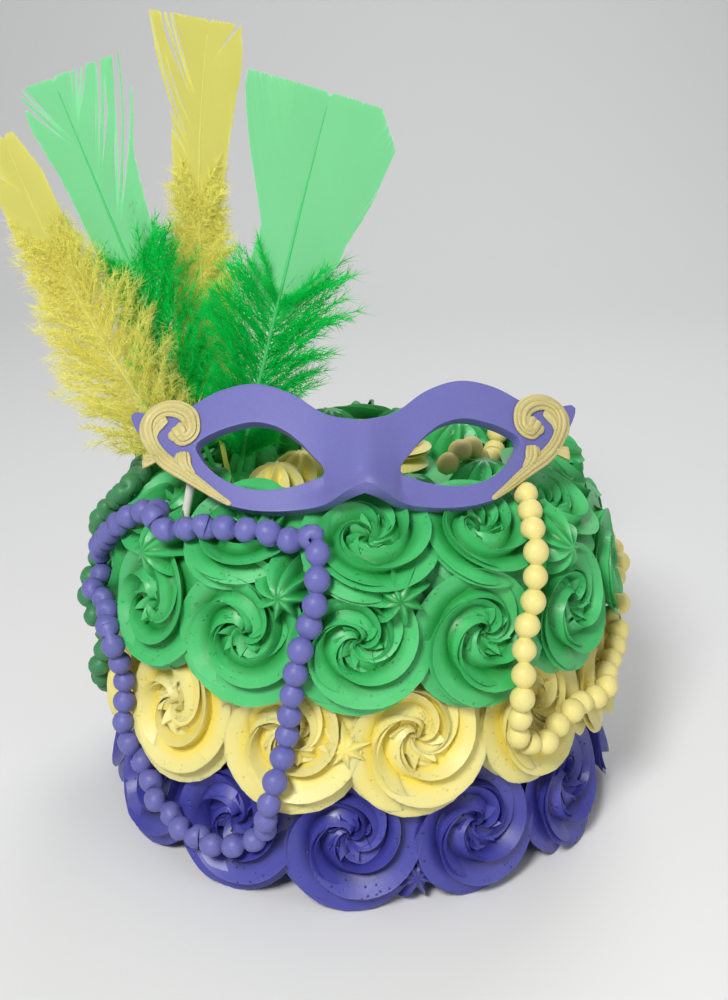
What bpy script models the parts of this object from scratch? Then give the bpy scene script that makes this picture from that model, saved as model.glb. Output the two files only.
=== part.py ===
# A round celebration cake in three piped tiers, purple, yellow and green from the bottom up. A moulded
# half mask with two gilt scrolls is propped on sticks at the front of its top, four feathers are stuck in
# behind the mask, and three strands of moulded beads hang over the edge. Front is -Y, and z = 0 is the
# flat bottom that the cake stands on.

import math
import random

import bmesh
import bpy
from mathutils import Matrix, Vector
from mathutils.bvhtree import BVHTree

GAP = 0.0003
TURN = 2 * math.pi

# Cake: a core of three tiers with a row of piped rosettes round each, and a ring on the top edge
CORE_RADIUS = 0.089
CORE_HEIGHT = 0.134
CORE_ROUNDING = 0.007
ROSETTE_DEPTH = 0.016
TIER_CLEAR = 0.0010
ROSETTE_LEAN = math.radians(13)
TIER_TOPS = {"purple": 0.048, "yellow": 0.087, "green": CORE_HEIGHT}
ROW_HEIGHTS = {"purple": 0.0288, "yellow": 0.0690, "green": 0.1075}
ROW_WIDTHS = {"purple": 0.0262, "yellow": 0.0257, "green": 0.0245}
ROW_REACHES = {"purple": 0.0284, "yellow": 0.0300, "green": 0.0262}
TIER_FACES = {"purple": 1150, "yellow": 1100, "green": 2450}
ROW_COUNTS = {"purple": 13, "yellow": 13, "green": 14}
ROW_STARTS = {"purple": -1.6, "yellow": 11.9, "green": 0.2}
EDGE_RING = {"count": 12, "radius": 0.079, "height": 0.131, "lean": math.radians(32), "size": 0.0235,
             "sinks": 0.008}
RIDGES = 6
RIDGE_DEPTH = 0.17
SWEEP = math.radians(190)
# From the rim of a rosette to its middle: part of its radius, part of its depth
ROSETTE_PROFILE = ((1.0, 0.0), (1.03, 0.48), (0.86, 0.88), (0.60, 1.0), (0.36, 0.98), (0.17, 0.90))
ROSETTE_MIDDLE = 0.72
STAR_PROFILE = ((1.0, 0.0), (0.92, 0.45), (0.50, 0.85))
STAR_MIDDLE = 1.0

# Star fillers piped into the gaps: azimuth from the front, height or radius, size
WALL_STARS = {
    "green": ((-49, 0.129), (-16, 0.129), (7, 0.130), (46, 0.131), (112, 0.130), (178, 0.129), (-120, 0.130)),
    "yellow": ((-3.5, 0.067), (123, 0.066)),
    "purple": ((11, 0.012), (-160, 0.013)),
}
TOP_STARS = ((-105, 0.050), (-14, 0.043), (2, 0.032), (24, 0.044), (66, 0.052), (128, 0.053), (160, 0.055),
             (-165, 0.054), (-135, 0.052))
STAR_SIZE = 0.0125
STAR_DEPTH = 0.0170

# Yellow piping in the middle of the top: a large rosette and two star fillers that touch it
MIDDLE_SWIRL = {"at": (0.0020, 0.0110), "size": 0.0285, "depth": 0.0150}
MIDDLE_STARS = ((-0.0245, -0.0120), (-0.0330, -0.0270))
MIDDLE_STAR_SIZE = 0.0115

# Mask: u runs across it, v up it, from its middle
MASK_AT = Vector((-0.0005, -0.0628, 0.1682))
MASK_LEAN = math.radians(42)
MASK_YAW = math.radians(3)
MASK_THICKNESS = 0.0048
MASK_BOW = 0.145
NOSE_REACH = 0.0098
NOSE_WIDTH = 0.0112
MASK_OUTLINE = ((0, 0.0036), (0.012, 0.0092), (0.024, 0.0190), (0.037, 0.0245), (0.050, 0.0236),
                (0.062, 0.0190), (0.071, 0.0186), (0.0825, 0.0228), (0.0795, 0.0130), (0.070, 0.0000),
                (0.060, -0.0105), (0.050, -0.0195), (0.040, -0.0242), (0.030, -0.0262), (0.020, -0.0267),
                (0.0125, -0.0266), (0.0065, -0.0252), (0, -0.0238), (0, -0.0150), (0, -0.0060))
EYE_OUTLINE = ((0.0165, -0.0068), (0.0220, 0.0003), (0.0290, 0.0062), (0.0375, 0.0092), (0.0470, 0.0084),
               (0.0545, 0.0062), (0.0580, 0.0034), (0.0560, -0.0022), (0.0510, -0.0088), (0.0440, -0.0142),
               (0.0360, -0.0172), (0.0270, -0.0177), (0.0190, -0.0166), (0.0118, -0.0138))
MASK_COLUMNS = 20

# Scrolls on the ends of the mask: u, v and radius of each point
SCROLL_NUB = (0.0652, 0.0102, 0.0044)
SCROLL_ARM = ((0.0655, 0.0100, 0.0032), (0.0634, 0.0070, 0.0031), (0.0604, 0.0090, 0.0031),
              (0.0612, 0.0150, 0.0033), (0.0652, 0.0190, 0.0033), (0.0702, 0.0206, 0.0033),
              (0.0746, 0.0196, 0.0033), (0.0770, 0.0164, 0.0034), (0.0770, 0.0122, 0.0032),
              (0.0752, 0.0072, 0.0026), (0.0722, 0.0022, 0.0026), (0.0680, -0.0025, 0.0026),
              (0.0625, -0.0073, 0.0023), (0.0575, -0.0118, 0.0019), (0.0520, -0.0168, 0.0014),
              (0.0462, -0.0216, 0.0008))
SCROLL_LOBE = ((0.0698, 0.0166, 0.0018), (0.0722, 0.0154, 0.0026), (0.0744, 0.0128, 0.0022))
SCROLL_LEAF = ((0.0636, 0.0018, 0.0024), (0.0638, -0.0012, 0.0032), (0.0628, -0.0046, 0.0027))
SCROLL_BUD = ((0.0722, 0.0024, 0.0020), (0.0752, 0.0016, 0.0021), (0.0778, 0.0014, 0.0028))
SCROLL_RELIEF = 0.62

# Sticks that prop the mask
STICK_RADIUS = 0.0016
STICK_FEET = {"left": Vector((-0.0690, -0.0560, 0.118)), "right": Vector((0.0520, -0.0560, 0.118))}
STICK_HEADS = {"left": (-0.0605, -0.0045), "right": (0.0600, -0.0045)}

# Strands of beads: azimuth from the front in degrees, and way up the side and in over the top
BEAD_RADIUS = 0.0045
BEAD_PITCH = 0.0087
BEAD_NECK = 0.0019
CAKE_OUT = CORE_RADIUS + ROSETTE_DEPTH + 0.003
EDGE_ROUND = 0.018
WALL_TOP = 0.134
BEADS_PURPLE = ((-9, 0.150), (-8, 0.139), (-9, 0.122), (-12, 0.102), (-14, 0.078), (-16, 0.057), (-18, 0.041),
                (-20, 0.030), (-24, 0.0245), (-31, 0.0215), (-40, 0.0235), (-49, 0.031), (-56, 0.044),
                (-58.5, 0.061), (-57, 0.078), (-57, 0.090), (-63, 0.0965), (-71, 0.099), (-77, 0.105),
                (-75, 0.113), (-66, 0.126), (-59, 0.137), (-54.5, 0.146), (-50.5, 0.150), (-47.5, 0.143),
                (-43.5, 0.141), (-39, 0.146), (-34, 0.151), (-28, 0.153), (-22, 0.154), (-15, 0.154))
BEADS_GREEN = ((-70, 0.148), (-74, 0.136), (-79, 0.124), (-85, 0.112), (-86, 0.099), (-80, 0.088),
               (-76, 0.078), (-76, 0.066), (-79, 0.055), (-83, 0.046), (-90, 0.043), (-97, 0.049),
               (-102, 0.062), (-105, 0.080), (-107, 0.100), (-108, 0.120), (-107, 0.138), (-102, 0.154),
               (-94, 0.160), (-85, 0.161), (-77, 0.157))
BEADS_YELLOW = ((52, 0.212), (74, 0.207), (94, 0.200), (110, 0.190), (122, 0.176), (128, 0.160),
                (128, 0.142), (124, 0.125), (117, 0.112), (108, 0.101), (99, 0.093), (91, 0.086), (83, 0.080),
                (76, 0.074), (69, 0.070), (62, 0.067), (54, 0.0650), (47, 0.0665), (42, 0.0635), (37, 0.0600),
                (32, 0.0640), (29.5, 0.072), (29.5, 0.082), (31, 0.096), (33, 0.111), (36, 0.127),
                (36.5, 0.139), (38, 0.150), (41, 0.160), (45, 0.170))

# Feathers: three points of the quill, and part of the way along with the width left and right of it
QUILL_RADIUS = 0.0011
QUILL_HIDDEN = 0.022
QUILL_CLEAR = 0.024
FEATHERS = {
    "feather_yellow_left": {
        "quill": ((-0.0610, -0.0190, 0.134), (-0.1070, -0.0140, 0.195), (-0.1320, -0.0060, 0.269)),
        "widths": ((0.14, 0.001, 0.001), (0.20, 0.012, 0.014), (0.30, 0.022, 0.020), (0.46, 0.020, 0.021),
                   (0.60, 0.015, 0.016), (0.75, 0.012, 0.010), (0.90, 0.011, 0.009), (1.0, 0.004, 0.004)),
    },
    "feather_green_left": {
        "quill": ((-0.0560, -0.0130, 0.134), (-0.0830, -0.0080, 0.208), (-0.1130, -0.0020, 0.289)),
        "widths": ((0.15, 0.001, 0.001), (0.23, 0.012, 0.016), (0.38, 0.012, 0.024), (0.52, 0.010, 0.022),
                   (0.64, 0.011, 0.014), (0.80, 0.012, 0.018), (0.92, 0.015, 0.026), (1.0, 0.013, 0.026)),
    },
    "feather_yellow_middle": {
        "quill": ((-0.0530, -0.0080, 0.134), (-0.0690, -0.0040, 0.222), (-0.0550, 0.0020, 0.309)),
        "widths": ((0.15, 0.001, 0.001), (0.26, 0.012, 0.012), (0.42, 0.013, 0.013), (0.56, 0.011, 0.011),
                   (0.68, 0.010, 0.010), (0.80, 0.011, 0.012), (0.92, 0.018, 0.014), (1.0, 0.022, 0.012)),
    },
    "feather_green_right": {
        "quill": ((-0.0500, -0.0230, 0.134), (-0.0330, -0.0160, 0.205), (-0.0110, -0.0050, 0.284)),
        "widths": ((0.16, 0.001, 0.001), (0.24, 0.016, 0.014), (0.38, 0.024, 0.024), (0.50, 0.022, 0.025),
                   (0.60, 0.014, 0.018), (0.68, 0.013, 0.020), (0.80, 0.021, 0.026), (0.92, 0.031, 0.029),
                   (1.0, 0.031, 0.020)),
    },
}
FEATHER_ROWS = 13
FEATHER_THICKNESS = 0.0016
FEATHER_WAVE = 0.0022

COLOURS = {
    "frosting_purple": (0.075, 0.077, 0.330, 1),
    "frosting_yellow": (0.800, 0.660, 0.210, 1),
    "frosting_green": (0.050, 0.370, 0.090, 1),
    "fondant_purple": (0.200, 0.195, 0.520, 1),
    "gilt": (0.700, 0.600, 0.210, 1),
    "stick": (0.820, 0.790, 0.720, 1),
    "beads_purple": (0.160, 0.165, 0.450, 1),
    "beads_yellow": (0.760, 0.660, 0.210, 1),
    "beads_green": (0.030, 0.190, 0.070, 1),
    "feather_yellow": (0.640, 0.590, 0.140, 1),
    "feather_green": (0.020, 0.400, 0.110, 1),
}


def clear_scene():
    for old in list(bpy.data.objects):
        bpy.data.objects.remove(old, do_unlink=True)


def new_collection(name, hidden=False):
    collection = bpy.data.collections.new(name)
    bpy.context.scene.collection.children.link(collection)
    collection.hide_render = hidden
    return collection


def finish(made, name, roughness):
    """Gives an object its one material, a plain Principled one of the named colour."""
    material = bpy.data.materials.get(name) or bpy.data.materials.new(name)
    material.use_nodes = True
    shader = material.node_tree.nodes["Principled BSDF"]
    shader.inputs["Base Color"].default_value = COLOURS[name]
    shader.inputs["Roughness"].default_value = roughness
    shader.inputs["Metallic"].default_value = 0.0
    made.data.materials.clear()
    made.data.materials.append(material)


def from_bmesh(name, mesh, collection):
    """The bmesh as an object of its own."""
    data = bpy.data.meshes.new(name)
    mesh.to_mesh(data)
    mesh.free()
    made = bpy.data.objects.new(name, data)
    made.display_type = "WIRE" if collection.hide_render else "TEXTURED"
    collection.objects.link(made)
    return made


def wrapped_grid(columns, rows, place):
    """A grid put round a form by place(turn, way), both from 0 to 1, with its seam and poles merged."""
    mesh = bmesh.new()
    bmesh.ops.create_grid(mesh, x_segments=columns, y_segments=rows, size=0.5)
    for vert in mesh.verts:
        vert.co = place(vert.co.x + 0.5, vert.co.y + 0.5)
    bmesh.ops.remove_doubles(mesh, verts=mesh.verts, dist=2e-6)
    bmesh.ops.recalc_face_normals(mesh, faces=mesh.faces)
    return mesh


def outward(azimuth):
    """The level direction at an azimuth in degrees, counted from the front towards +X."""
    angle = math.radians(azimuth)
    return Vector((math.sin(angle), -math.cos(angle), 0))


def wall_seat(azimuth, height, lean=0.0):
    """Where a point piped on the wall goes: x along the wall, y up it, h out of it."""

    def seat(x, y, h):
        there = outward(azimuth + math.degrees(x / (CORE_RADIUS + 0.5 * ROSETTE_DEPTH)))
        tilt = y * math.tan(lean) if h > 0 else 0
        return there * (CORE_RADIUS + h - tilt) + Vector((0, 0, height + y))

    return seat


def top_seat(azimuth, radius, height, lean=0.0):
    """Where a point piped on the top goes, its seat leaning out by lean."""
    out = outward(azimuth)
    aside = Vector((-out.y, out.x, 0))
    normal = out * math.sin(lean) + Vector((0, 0, math.cos(lean)))
    inward = normal.cross(aside)
    middle = out * radius + Vector((0, 0, height))

    def seat(x, y, h):
        return middle + aside * x + inward * y + normal * h

    return seat


def piped(seat, wide, tall, depth, profile, middle, sweep, phase, root=0.002):
    """A piped form with RIDGES ridges that turn round it from its middle to its rim."""
    columns = 2 * RIDGES
    rows = len(profile) + 1

    def place(turn, way):
        row = round(way * rows)
        if row == 0:
            return seat(0, 0, -root)
        if row == rows:
            return seat(0, 0, middle * depth)
        part, rise = profile[row - 1]
        groove = round(turn * columns) % 2
        reach = part * (1 - 0.09 * groove)
        high = rise * depth - (RIDGE_DEPTH * depth * groove if row > 2 else 0)
        if row == 1:
            high = -root
        angle = phase + turn * TURN + sweep * part
        return seat(wide * reach * math.cos(angle), tall * reach * math.sin(angle), high)

    return wrapped_grid(columns, rows, place)


def rosette_row(colour, chance):
    """Rosettes round one tier."""
    count = ROW_COUNTS[colour]
    for place in range(count):
        azimuth = ROW_STARTS[colour] + 360 * place / count + chance.uniform(-1.2, 1.2)
        height = ROW_HEIGHTS[colour] + chance.uniform(-0.001, 0.001)
        wide = ROW_WIDTHS[colour] * chance.uniform(0.98, 1.04)
        tall = min(ROW_REACHES[colour] * chance.uniform(0.98, 1.03), height / 1.03 - 0.0002)
        depth = ROSETTE_DEPTH * chance.uniform(0.95, 1.03)
        seat = wall_seat(azimuth, height, ROSETTE_LEAN)
        yield piped(seat, wide, tall, depth, ROSETTE_PROFILE, ROSETTE_MIDDLE, SWEEP, chance.uniform(0, TURN))


def star(seat, size, depth, chance):
    """A star filler: ridges that meet in a point."""
    return piped(seat, size, size, depth, STAR_PROFILE, STAR_MIDDLE, 0.5, chance.uniform(0, TURN))


def tier_forms(colour):
    """All that is piped on one tier."""
    chance = random.Random(colour)
    yield from rosette_row(colour, chance)
    for azimuth, height in WALL_STARS[colour]:
        yield star(wall_seat(azimuth, height), min(STAR_SIZE, height - 0.001), STAR_DEPTH, chance)
    if colour != "green":
        return
    for place in range(EDGE_RING["count"]):
        azimuth = 360 * place / EDGE_RING["count"] + chance.uniform(-2, 2)
        behind = min(1 - math.cos(math.radians(azimuth)), 1)
        low = EDGE_RING["height"] - EDGE_RING["sinks"] * behind
        radius = EDGE_RING["radius"] - 0.5 * EDGE_RING["sinks"] * behind
        seat = top_seat(azimuth, radius, low, EDGE_RING["lean"])
        size = EDGE_RING["size"] * chance.uniform(0.97, 1.04)
        phase = chance.uniform(0, TURN)
        yield piped(seat, size, size, ROSETTE_DEPTH, ROSETTE_PROFILE, ROSETTE_MIDDLE, SWEEP, phase, 0.006)
    for azimuth, radius in TOP_STARS:
        yield star(top_seat(azimuth, radius, CORE_HEIGHT), STAR_SIZE, 0.85 * STAR_DEPTH, chance)


def core(name, low, high, rounded, collection):
    """The round body of one tier, its top edge rounded where it is the topmost."""
    profile = [(0, low), (CORE_RADIUS, low), (CORE_RADIUS, high)]
    if rounded:
        profile[-1:] = [(CORE_RADIUS, high - CORE_ROUNDING), (CORE_RADIUS - CORE_ROUNDING, high)]
    profile.append((0, high))

    def place(turn, way):
        radius, height = profile[round(way * (len(profile) - 1))]
        return outward(360 * turn) * radius + Vector((0, 0, height))

    return from_bmesh(name, wrapped_grid(28, len(profile) - 1, place), collection)


def boolean(target, operation, others, solver="MANIFOLD"):
    """Joins the other objects to the target, or cuts them out of it, and removes them."""
    group = new_collection("operands_" + target.name)
    for other in others:
        for home in list(other.users_collection):
            home.objects.unlink(other)
        group.objects.link(other)
    step = target.modifiers.new("join", "BOOLEAN")
    step.operation = operation
    step.operand_type = "COLLECTION"
    step.collection = group
    step.solver = solver
    bpy.context.view_layer.objects.active = target
    bpy.ops.object.modifier_apply(modifier=step.name)
    for other in others:
        bpy.data.objects.remove(other, do_unlink=True)
    bpy.data.collections.remove(group)


def keep_largest(target):
    """Drops the scraps that a cut leaves loose."""
    mesh = bmesh.new()
    mesh.from_mesh(target.data)
    left = set(mesh.verts)
    shells = []
    while left:
        shell = []
        reach = [left.pop()]
        while reach:
            vert = reach.pop()
            shell.append(vert)
            for edge in vert.link_edges:
                other = edge.other_vert(vert)
                if other in left:
                    left.discard(other)
                    reach.append(other)
        shells.append(shell)
    shells.sort(key=len)
    for shell in shells[:-1]:
        bmesh.ops.delete(mesh, geom=shell, context="VERTS")
    mesh.to_mesh(target.data)
    mesh.free()


def lightened(target, faces):
    """The mesh with its least telling edges collapsed, so that it has about so many faces."""
    step = target.modifiers.new("lighten", "TRIANGULATE")
    bpy.context.view_layer.objects.active = target
    bpy.ops.object.modifier_apply(modifier=step.name)
    step = target.modifiers.new("lighten", "DECIMATE")
    step.ratio = min(1.0, faces / len(target.data.polygons))
    bpy.ops.object.modifier_apply(modifier=step.name)
    for vert in target.data.vertices:
        if vert.co.z < 2 * GAP:
            vert.co.z = 0.0
    mend(target)


def mend(target):
    """Closes the few spots where collapsed edges left a face too many or too few."""
    mesh = bmesh.new()
    mesh.from_mesh(target.data)
    for _ in range(10):
        bmesh.ops.remove_doubles(mesh, verts=mesh.verts, dist=2e-6)
        bmesh.ops.dissolve_degenerate(mesh, dist=1e-5, edges=mesh.edges)
        crowded = {vert for edge in mesh.edges if len(edge.link_faces) > 2 for vert in edge.verts}
        crowded |= {vert for vert in mesh.verts if not vert.is_manifold and not vert.is_boundary}
        faces = {face for vert in crowded for face in vert.link_faces}
        bmesh.ops.delete(mesh, geom=list(faces), context="FACES")
        bmesh.ops.delete(mesh, geom=[edge for edge in mesh.edges if not edge.link_faces], context="EDGES")
        bmesh.ops.delete(mesh, geom=[vert for vert in mesh.verts if not vert.link_edges], context="VERTS")
        rims = [edge for edge in mesh.edges if len(edge.link_faces) == 1]
        if not rims:
            break
        bmesh.ops.holes_fill(mesh, edges=rims, sides=0)
        bmesh.ops.triangulate(mesh, faces=mesh.faces)
    bmesh.ops.recalc_face_normals(mesh, faces=mesh.faces)
    mesh.to_mesh(target.data)
    mesh.free()


def larger(target, by, collection):
    """A copy that stands out from the original by about this much all round."""
    mesh = bmesh.new()
    mesh.from_mesh(target.data)
    mesh.normal_update()
    moves = [vert.normal * by * min(vert.calc_shell_factor(), 2.5) for vert in mesh.verts]
    for vert, move in zip(mesh.verts, moves):
        vert.co += move
    return from_bmesh("clear", mesh, collection)


def make_tiers(parts):
    """The three tiers from the top down, each cut clear of what hangs over it from the tier above."""
    tiers = {}
    above = None
    for colour in ("green", "yellow", "purple"):
        low = {"green": TIER_TOPS["yellow"] + GAP, "yellow": TIER_TOPS["purple"] + GAP, "purple": 0.0}[colour]
        tier = core("tier_" + colour, low, TIER_TOPS[colour], colour == "green", parts)
        boolean(tier, "UNION", [from_bmesh("piped", form, parts) for form in tier_forms(colour)])
        lightened(tier, TIER_FACES[colour])
        if above:
            boolean(tier, "DIFFERENCE", [larger(above, part * TIER_CLEAR, parts) for part in (1, 0.6, 0.2)])
            keep_largest(tier)
        finish(tier, "frosting_" + colour, 0.5)
        tiers[colour] = above = tier
    return tiers


def make_middle_swirl(parts):
    """The yellow rosette in the middle of the top, and the two stars beside it."""

    def seat_at(x, y):
        return top_seat(math.degrees(math.atan2(x, -y)), math.hypot(x, y), CORE_HEIGHT + 2 * GAP)

    size = MIDDLE_SWIRL["size"]
    depth = MIDDLE_SWIRL["depth"]
    seat = seat_at(*MIDDLE_SWIRL["at"])
    form = piped(seat, size, size, depth, ROSETTE_PROFILE, ROSETTE_MIDDLE, SWEEP, 0.4, 0.0)
    swirl = from_bmesh("swirl_yellow_top", form, parts)
    size = MIDDLE_STAR_SIZE
    stars = []
    for at in MIDDLE_STARS:
        form = piped(seat_at(*at), size, size, depth, STAR_PROFILE, STAR_MIDDLE, 0.5, 0.9, 0.0)
        stars.append(from_bmesh("piped", form, parts))
    boolean(swirl, "UNION", stars)
    finish(swirl, "frosting_yellow", 0.5)
    return swirl


def mask_place(u, v, out):
    """A point of the mask: u across, v up, and out from its middle sheet towards the front."""
    nose = NOSE_REACH * math.exp(-(abs(u / NOSE_WIDTH) ** 1.6)) * (0.68 - 26 * v)
    turn = Matrix.Rotation(MASK_YAW, 3, "Z")
    normal = turn @ Vector((0, -math.cos(MASK_LEAN), math.sin(MASK_LEAN)))
    up = turn @ Vector((0, math.sin(MASK_LEAN), math.cos(MASK_LEAN)))
    across = turn @ Vector((1, 0, 0))
    return MASK_AT + across * u + up * v + normal * (out + nose - u * u / (2 * MASK_BOW))


def smooth_loop(points, count, closed=True):
    """Points spread evenly along a smooth line through the given ones."""
    total = len(points)
    fine = []
    spans = total if closed else total - 1
    for span in range(spans):
        near = [span - 1, span, span + 1, span + 2]
        near = [k % total if closed else min(max(k, 0), total - 1) for k in near]
        a, b, c, d = (Vector(points[k]) for k in near)
        for step in range(12):
            t = step / 12
            fine.append(0.5 * (2 * b + (c - a) * t + (2 * a - 5 * b + 4 * c - d) * t * t
                               + (3 * b - a - 3 * c + d) * t ** 3))
    fine.append(Vector(points[0] if closed else points[-1]))
    ways = [0.0]
    for here, there in zip(fine, fine[1:]):
        ways.append(ways[-1] + (there - here).length)
    spread = []
    index = 0
    pieces = count if closed else count - 1
    for step in range(count):
        way = ways[-1] * step / pieces
        while index < len(ways) - 2 and ways[index + 1] < way:
            index += 1
        part = (way - ways[index]) / max(ways[index + 1] - ways[index], 1e-9)
        spread.append(fine[index].lerp(fine[index + 1], part))
    return spread


def make_mask(parts):
    """The half mask: one half laid round its eye hole, mirrored, bent to the face and made thick."""
    side = smooth_loop(MASK_OUTLINE[:-2], MASK_COLUMNS - 2, closed=False)
    side.extend(Vector(point) for point in MASK_OUTLINE[-2:])
    rim = [Vector((max(point.x, 0), point.y)) for point in side]
    rim[0].x = rim[len(side) - 3].x = 0
    eye = smooth_loop(EYE_OUTLINE, len(rim))

    def place(turn, way):
        column = round(turn * len(rim)) % len(rim)
        point = eye[column].lerp(rim[column], way)
        return Vector((point.x, point.y, 0))

    half = wrapped_grid(len(rim), 3, place)
    mask = from_bmesh("mask", half, parts)
    mirror = mask.modifiers.new("mirror", "MIRROR")
    mirror.merge_threshold = 0.0001
    bpy.context.view_layer.objects.active = mask
    bpy.ops.object.modifier_apply(modifier=mirror.name)
    for vert in mask.data.vertices:
        vert.co = mask_place(vert.co.x, vert.co.y, 0)
    thick = mask.modifiers.new("thick", "SOLIDIFY")
    thick.thickness = MASK_THICKNESS
    thick.offset = 0
    thick.use_even_offset = True
    bpy.ops.object.modifier_apply(modifier=thick.name)
    finish(mask, "fondant_purple", 0.4)
    return mask


def tube(name, points, radii, collection, closed=False, sides=1):
    """A curve with round section whose radius changes from point to point."""
    curve = bpy.data.curves.new(name, "CURVE")
    curve.dimensions = "3D"
    curve.bevel_depth = 1.0
    curve.bevel_resolution = sides
    curve.use_fill_caps = not closed
    line = curve.splines.new("POLY")
    line.points.add(len(points) - 1)
    line.use_cyclic_u = closed
    for spot, point, radius in zip(line.points, points, radii):
        spot.co = (*point, 1)
        spot.radius = radius
    made = bpy.data.objects.new(name, curve)
    collection.objects.link(made)
    return made


def as_mesh(made):
    """The curve object turned into a mesh object, seams merged and faces outwards."""
    data = bpy.data.meshes.new_from_object(made)
    mesh = bmesh.new()
    mesh.from_mesh(data)
    bmesh.ops.remove_doubles(mesh, verts=mesh.verts, dist=1e-6)
    bmesh.ops.recalc_face_normals(mesh, faces=mesh.faces)
    name = made.name
    home = made.users_collection[0]
    bpy.data.objects.remove(made, do_unlink=True)
    return from_bmesh(name, mesh, home)


def scroll_strip(name, strip, parts):
    """One limb of a scroll, still flat: its underside at 0 all along."""
    return as_mesh(tube(name, strip, [radius for _, _, radius in strip], parts))


def make_scroll(side, hand, parts):
    """A gilt scroll: a curl that ends in a nub, an arm down the end of the mask, a leaf and a bud."""
    scroll = scroll_strip("scroll_" + side, SCROLL_ARM, parts)
    nub = bmesh.new()
    at = Matrix.Translation((SCROLL_NUB[0], SCROLL_NUB[1], 0))
    bmesh.ops.create_uvsphere(nub, u_segments=10, v_segments=6, radius=SCROLL_NUB[2], matrix=at)
    limbs = [scroll_strip("limb", strip, parts) for strip in (SCROLL_LOBE, SCROLL_LEAF, SCROLL_BUD)]
    boolean(scroll, "UNION", [from_bmesh("nub", nub, parts), *limbs])
    for vert in scroll.data.vertices:
        lift = MASK_THICKNESS / 2 + GAP + SCROLL_RELIEF * max(vert.co.z, 0)
        vert.co = mask_place(hand * vert.co.x, vert.co.y, lift)
    if hand < 0:
        scroll.data.flip_normals()
    finish(scroll, "gilt", 0.45)
    return scroll


def rod(name, low, high, radius, collection, sides=10):
    """A straight round rod from one point to another."""
    mesh = bmesh.new()
    along = high - low
    place = Matrix.Translation((low + high) / 2) @ along.to_track_quat("Z", "Y").to_matrix().to_4x4()
    bmesh.ops.create_cone(mesh, cap_ends=True, segments=sides, radius1=radius, radius2=radius,
                          depth=along.length, matrix=place)
    return from_bmesh(name, mesh, collection)


def make_sticks(parts, cutters):
    """Two sticks that stand in the top tier and prop the mask, and the cutters for their holes."""
    holes = []
    sticks = []
    for side, foot in STICK_FEET.items():
        head = mask_place(*STICK_HEADS[side], -(MASK_THICKNESS / 2 + STICK_RADIUS + GAP))
        stick = rod("stick_" + side, foot, head, STICK_RADIUS, parts)
        finish(stick, "stick", 0.6)
        sticks.append(stick)
        below = foot - (head - foot).normalized() * GAP
        holes.append(rod("hole_stick_" + side, below, head, STICK_RADIUS + GAP, cutters))
    return holes, sticks


def make_feather(name, shape, parts, cutters):
    """A feather as one thin wavy solid, thick along its quill, and the cutter for its hole."""
    low, bend, high = (Vector(point) for point in shape["quill"])
    start = (bend - low).normalized()
    foot = low - start * QUILL_HIDDEN
    widths = shape["widths"]

    def quill(way):
        return low.lerp(bend, way).lerp(bend.lerp(high, way), way)

    def width(way, side):
        if way <= widths[0][0]:
            return QUILL_RADIUS
        for near, far in zip(widths, widths[1:]):
            if way <= far[0]:
                part = (way - near[0]) / (far[0] - near[0])
                part = part * part * (3 - 2 * part)
                return near[side] + (far[side] - near[side]) * part
        return widths[-1][side]

    rows = FEATHER_ROWS + 3

    def place(turn, along):
        row = round(along * rows)
        if row == 0:
            return foot
        way = max(row - 2, 0) / FEATHER_ROWS
        centre = foot if row == 1 else quill(min(way, 1))
        if row == rows:
            return quill(1.0)
        way = min(way, 1)
        tangent = (quill(min(way + 0.02, 1)) - quill(max(way - 0.02, 0))).normalized() if row > 2 else start
        aside = Vector((0, 1, 0)).cross(tangent).normalized()
        front = aside.cross(tangent)
        spot = round(turn * 8) % 8
        across = (1, 0.55, 0, -0.55, -1, -0.55, 0, 0.55)[spot]
        face = (0, 1, 1, 1, 0, -1, -1, -1)[spot]
        reach = width(way, 2 if across > 0 else 1)
        flat = min(1.0, (reach - QUILL_RADIUS) / 0.004)
        thick = QUILL_RADIUS
        if across:
            thick = QUILL_RADIUS * 0.8 * (1 - flat) + 0.5 * FEATHER_THICKNESS * flat
        wave = FEATHER_WAVE * flat * abs(across) * math.sin(9 * way + 2 * across)
        return centre + aside * (across * reach) + front * (face * thick + wave)

    feather = from_bmesh(name, wrapped_grid(8, rows, place), parts)
    finish(feather, "feather_yellow" if "yellow" in name else "feather_green", 0.7)
    hole = rod("hole_" + name, foot - start * GAP, low + start * QUILL_CLEAR, 1.6 * QUILL_RADIUS, cutters)
    return feather, hole


def surface_of(objects):
    """The surface of several objects together, to lay a strand on."""
    points = []
    faces = []
    for made in objects:
        first = len(points)
        points.extend(vert.co.copy() for vert in made.data.vertices)
        faces.extend([first + index for index in face.vertices] for face in made.data.polygons)
    return BVHTree.FromPolygons(points, faces)


def settled(azimuth, up, surface):
    """Where a bead comes to rest against the surface, moved in from outside the cake."""
    around = min(max((up - WALL_TOP) / (EDGE_ROUND * math.pi / 2), 0), 1) * math.pi / 2
    inner = CAKE_OUT - EDGE_ROUND
    radius = inner + EDGE_ROUND * math.cos(around) - max(up - WALL_TOP - EDGE_ROUND * math.pi / 2, 0)
    height = min(up, WALL_TOP) + EDGE_ROUND * math.sin(around)
    there = outward(azimuth)
    normal = there * math.cos(around) + Vector((0, 0, math.sin(around)))
    point = there * radius + Vector((0, 0, height)) + normal * 0.03
    for _ in range(60):
        near = surface.find_nearest(point)[3]
        step = near - BEAD_RADIUS - GAP
        if step < 2e-5:
            break
        point = point - normal * step
        if (point - there * radius).dot(normal) < -0.2:
            break
    return point


def clear_of(point, surface):
    """The point moved off the surface until a bead has room there."""
    for _ in range(8):
        place, normal, _, near = surface.find_nearest(point)
        if near >= BEAD_RADIUS + GAP:
            break
        point = point + (point - place).normalized() * (BEAD_RADIUS + 1.5 * GAP - near)
    return point


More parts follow.
